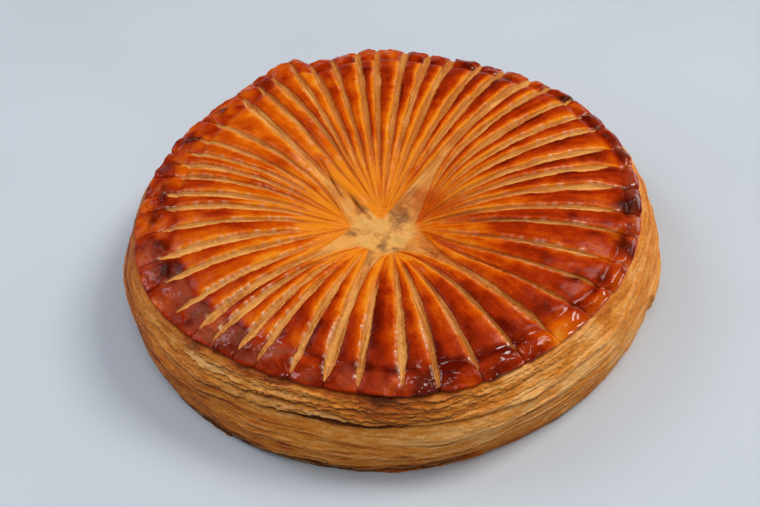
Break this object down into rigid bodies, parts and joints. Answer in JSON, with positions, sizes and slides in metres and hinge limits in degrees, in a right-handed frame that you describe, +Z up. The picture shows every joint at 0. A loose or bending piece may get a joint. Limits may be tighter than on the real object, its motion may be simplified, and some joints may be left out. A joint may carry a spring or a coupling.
{
  "type": "galette des rois",
  "caption": "Round uncut puff-pastry pie with a scored, glazed, domed lid, a puffed rim band and a layered, bulging side wall; rests on its flat foot.",
  "frame": {"origin": "middle of the bounding box, on the surface that the pie rests on", "axes": "+Z up through the lid, -Y towards the front with the gaping layer crevice, +X to the right seen from the front"},
  "size_m": [0.2666, 0.2678, 0.0552],
  "materials": {
    "crust": "baked puff pastry: glossy orange-brown egg-wash lid with matte pale cuts, matt golden layered side"
  },
  "bodies": {
    "root": {"galette": "crust"}
  },
  "joints": []
}
